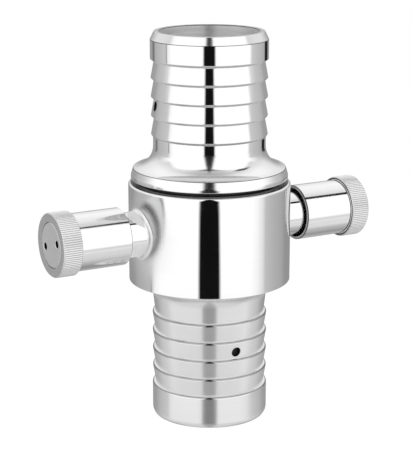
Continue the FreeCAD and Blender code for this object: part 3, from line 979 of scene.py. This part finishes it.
def buildSpring(s, side):
    # wire round a helix: radius meanR, rising evenly from one end of its node's box to the other
    sheet = newSheet(["springWire"])
    low, high = springLow[0] + s["wireR"], springHigh[0] - s["wireR"]
    turns = np.linspace(0, s["turns"], int(s["turns"] * s["stepsPerTurn"]) + 1)
    angle = 2 * np.pi * turns
    middle = swing(s["meanR"], low + (high - low) * turns / s["turns"], angle)
    climb = (high - low) / s["turns"] / (2 * np.pi)
    heading = unit(swing(s["meanR"], climb, angle + np.pi / 2))
    outward = spokesAt(angle)
    over = np.cross(heading, outward)
    tube = 2 * np.pi * np.arange(s["tubeSegments"]) / s["tubeSegments"]
    normals = np.cos(tube)[None, :, None] * outward[:, None] + np.sin(tube)[None, :, None] * over[:, None]
    points = middle[:, None] + s["wireR"] * normals
    index = addRing(sheet, points.reshape(-1, 3)).reshape(points.shape[:2])
    u = tube / (2 * np.pi)
    run = s["meanR"] * angle * mm
    for k in range(len(turns) - 1):
        near, far = (mapAt(u, run[n]) for n in (k, k + 1))
        addStrip(sheet, index[k], index[k + 1], "springWire", near, far, normals[k], normals[k + 1],
                 wrap=True)
    addCap(sheet, index[0], -heading[0], "springWire")
    addCap(sheet, index[-1], heading[-1], "springWire")
    piece = makePiece(sheet, side + "PlungerSpring", "female_body", [side + "_plunger_spring"],
                      lugTurns[side], lugShift)
    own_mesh(piece)


for side in sides:
    buildSleeve(sleeve, side)
    buildNut(nut, side)
    buildScrew(screw, side)
    buildSpring(spring, side)

# nodes whose own shape is right keep it and get a finish
keptNodes = {side + node: "innerSteel" for side in sides for node in ("_plunger", "_spring_retainer")}
keptNodes["sealing_washer"] = "sealRubber"
for name, finish in keptNodes.items():
    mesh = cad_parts[name].data
    mesh.materials.clear()
    mesh.materials.append(materials[finish])
print("pieces built")


# floor: a small pale disc that the camera sees with a faint contact shadow; the steel sees through it to the
# pale studio underneath
floorLook = {
    "hub": 0.004, "radius": 0.3, "rings": 24, "segments": 96, "white": 0.92, "shade": 0.14, "mottle": 0.02,
    "grain": 40.0, "detail": 4.0,
}


def buildFloor(s):
    theta = 2 * np.pi * np.arange(s["segments"]) / s["segments"]
    radii = np.linspace(s["hub"], s["radius"], s["rings"])
    points = (radii[:, None, None] * spokesAt(theta)).reshape(-1, 3)
    index = np.arange(len(points)).reshape(s["rings"], s["segments"])
    quads = np.stack([index[:-1], index[1:], np.roll(index[1:], -1, 1), np.roll(index[:-1], -1, 1)], axis=-1)
    mesh = bpy.data.meshes.new("floor")
    faces = quads.reshape(-1, 4).tolist() + [index[0].tolist()]
    mesh.from_pydata(points.tolist(), [], faces, shade_flat=False)
    made, tree, shader = newMaterial("paleFloor")
    tree.nodes.remove(shader)
    place = addNode(tree, "TexCoord").outputs["Object"]
    cloud = noise(tree, place, Scale=s["grain"], Detail=s["detail"])
    mottle = ramp(tree, cloud, 0, 1, s["shade"] - s["mottle"], s["shade"] + s["mottle"])
    shade = addNode(tree, "BsdfDiffuse", {"Color": mottle})
    through = addNode(tree, "BsdfTransparent")
    glow = addNode(tree, "Emission", {"Color": grey(s["white"])})
    white = addNode(tree, "AddShader", {0: shade.outputs[0], 1: glow.outputs[0]})
    path = addNode(tree, "LightPath")
    both = addNode(tree, "MixShader", {
        0: path.outputs["Is Camera Ray"], 1: through.outputs[0], 2: white.outputs[0]})
    tree.links.new(both.outputs[0], tree.nodes["Material Output"].inputs["Surface"])
    mesh.materials.append(made)
    floor = bpy.data.objects.new("floor", mesh)
    bpy.context.scene.collection.objects.link(floor)


buildFloor(floorLook)


# camera: stands off the main axis at an azimuth, level with a point above the coupling, tipped down
lens = {
    "azimuth": -29.6, "reach": 821.8, "height": 312.6, "tipDown": 14.09, "focalPixels": 1533.8,
    "axisPixels": 3.41, "imageHeight": 453, "sensor": 36.0,
}


def buildCamera(s):
    data = bpy.data.cameras.new("camera")
    data.sensor_width = s["sensor"]
    data.lens = s["focalPixels"] / s["imageHeight"] * s["sensor"]
    data.shift_x = -s["axisPixels"] / s["imageHeight"]
    camera = bpy.data.objects.new("camera", data)
    turn = math.radians(s["azimuth"])
    camera.location = (math.sin(turn) * s["reach"] * mm, -math.cos(turn) * s["reach"] * mm, s["height"] * mm)
    camera.rotation_euler = (math.radians(90 - s["tipDown"]), 0, turn)
    bpy.context.scene.collection.objects.link(camera)
    bpy.context.scene.camera = camera


buildCamera(lens)


# studio: a big white softbox tent in front with a narrow dark gap at the camera, its dark upper seam, and a
# pale room behind and above it; turn 0 points at the camera and grows to its right, rise is above the
# horizon, both in degrees, and levels are brightness
studio = {
    "facing": lens["azimuth"], "background": 1.0, "echo": 0.8,
    "echoDepth": 2.0,  # the ray depth that still sees the tent; the world counts itself
    "tentLeft": [(-90.3, 0), (-89.6, 0.16), (-87.6, 0.36), (-85.6, 0.63), (-83.7, 0.73), (-81.8, 0.81),
                 (-78, 0.9), (-74, 1)],
    "tentRight": [(82, 1), (84.9, 0.78), (87.6, 0.32), (90, 0)],
    "tentRightLow": [(60, 1), (71.6, 0.78), (75, 0.64), (80.5, 0.44), (84, 0.2), (86, 0)],
    "tentLow": (-13, -11.8),
    "white": [(-45, 0.72), (-40, 0.74), (-36, 0.77), (-31, 0.86), (-28, 0.8), (-22, 0.7), (-20, 0.86),
              (-17.3, 1.1), (-14, 1.15)],
    "rimSide": 0.7235, "rimRise": 0.601, "rimScale": 1.3728,
    "seam": 0.075, "seamBlur": 0.01, "seamEnd": (-0.14, -0.06),
    "seamLevel": [(-75, 0.85), (-40, 0.62), (-18, 0.28), (-8, 0.1), (-2, 0.006), (2, 0.006), (10, 0.2),
                  (20, 0.45), (41, 0.6), (62, 0.8), (75.5, 0.85), (77, 0.006)],
    "roomLow": [(85, 0.62), (95, 0.55), (105, 0.5), (120, 0.45), (128, 0.41), (135, 0.34), (180, 0.3)],
    "roomHigh": [(0, 0.72), (23, 0.9), (35, 1.0), (45, 1.04), (55, 0.98), (62, 0.94), (68, 0.86), (75, 0.75),
                 (82, 0.64), (90, 0.55)],
    "roomDim": [(88, 0.75), (130, 1.0)], "roomBlend": (-4, 19),
    "roomFoot": [(-54, 1.0), (-44, 1.42), (-24, 1.42), (-19, 0.97), (-13, 0.94), (-11, 1.12)],
    "glow": 1.08, "glowRise": [(4, 0), (10, 1), (17, 1), (26, 0)], "glowTurn": [(90, 1), (116, 0)],
    "gap": [(-16, 17), (-13.5, 16), (-11.5, 12.6), (-8, 13.5), (-3, 11.8), (8, 11.2), (20, 10.3), (40, 9.3),
            (52, 8.8), (62, 8), (75, 5), (90, 3)],
    "gapBlur": 4.0, "gapLevel": [(-45, 0.42), (-36, 0.38), (-24, 0.33), (-19.5, 0.33), (-17.3, 0.006)],
    # strips: turn from and to, level, rise from and to
    "strips": [(-92.3, -90.3, 0.25, -18, -6), (-143, -132, 0.2, -12, -6), (134, 152, 0.02, -12, -6)],
    "stripBlur": 0.7, "stripFade": 0.5,
}


def buildStudio(s):
    world = bpy.data.worlds.new("studio")
    bpy.context.scene.world = world
    world.use_nodes = True
    tree = world.node_tree
    toward = addNode(tree, "TexCoord").outputs["Generated"]
    turned = addNode(tree, "VectorRotate", {
        "Vector": toward, "Angle": math.radians(90 - s["facing"])}, rotation_type="Z_AXIS")
    split = addNode(tree, "SeparateXYZ", {0: turned.outputs[0]}).outputs
    turn = times(tree, math2(tree, "ARCTAN2", split["Y"], split["X"]), math.degrees(1))
    rise = times(tree, math2(tree, "ARCSINE", split["Z"]), math.degrees(1))
    aside = math2(tree, "ABSOLUTE", turn)

    def within(value, low, high, blur):
        return piecewise(tree, value, [(low - blur, 0), (low + blur, 1), (high - blur, 1), (high + blur, 0)])

    def product(riseStops, turnStops):
        return times(tree, piecewise(tree, rise, riseStops), piecewise(tree, aside, turnStops))

    # the room, low down by its turn and higher up by its rise
    high = product(s["roomHigh"], s["roomDim"])
    upward = ramp(tree, rise, *s["roomBlend"], interpolation_type="SMOOTHSTEP")
    low = product(s["roomFoot"], s["roomLow"])
    level = blend(tree, upward, low, high)
    level = blend(tree, product(s["glowRise"], s["glowTurn"]), level, s["glow"])
    for start, end, grade, bottom, top in s["strips"]:
        across = within(turn, start, end, s["stripBlur"])
        level = blend(tree, times(tree, across, within(rise, bottom, top, s["stripFade"])), level, grade)
    # the tent ends at a slanting rim: ahead plus a share of sideways less a share of upwards
    sideways = times(tree, math2(tree, "ABSOLUTE", split["Y"]), s["rimSide"])
    upwards = times(tree, split["Z"], s["rimRise"])
    rim = math2(tree, "SUBTRACT", plus(tree, split["X"], sideways), upwards)
    rim = math2(tree, "DIVIDE", rim, s["rimScale"])
    lowest, lower = s["tentLow"]
    lowDown = piecewise(tree, rise, [(lowest, 1), (lower, 0)])
    right = blend(tree, lowDown, piecewise(tree, turn, s["tentRight"]),
                  piecewise(tree, turn, s["tentRightLow"]))
    tent = times(tree, piecewise(tree, turn, s["tentLeft"]), right)
    tent = times(tree, tent, piecewise(tree, rim, [(0, 0), (s["seam"], 1)]))
    white = piecewise(tree, rise, s["white"])
    level = blend(tree, tent, level, white)
    gapHalf = piecewise(tree, rise, s["gap"])
    inGap = math2(tree, "DIVIDE", math2(tree, "SUBTRACT", gapHalf, aside), s["gapBlur"], clamp=True)
    level = blend(tree, inGap, level, piecewise(tree, rise, s["gapLevel"]))
    offRim = math2(tree, "ABSOLUTE", rim)
    seam = piecewise(tree, offRim, [(s["seam"] - s["seamBlur"], 1), (s["seam"] + s["seamBlur"], 0)])
    seam = times(tree, seam, piecewise(tree, split["X"], [(s["seamEnd"][0], 0), (s["seamEnd"][1], 1)]))
    level = blend(tree, seam, level, piecewise(tree, turn, s["seamLevel"]))
    # steel seen in other steel finds an even light, so that echoes of the tent stay soft
    path = addNode(tree, "LightPath")
    echo = math2(tree, "SUBTRACT", path.outputs["Ray Depth"], s["echoDepth"], clamp=True)
    level = blend(tree, echo, level, s["echo"])
    shown = blend(tree, path.outputs["Is Camera Ray"], level, s["background"])
    tree.links.new(shown, tree.nodes["Background"].inputs["Color"])


buildStudio(studio)
bpy.context.scene.view_settings.view_transform = "Standard"
bpy.context.scene.view_settings.look = "None"
print("studio ready")
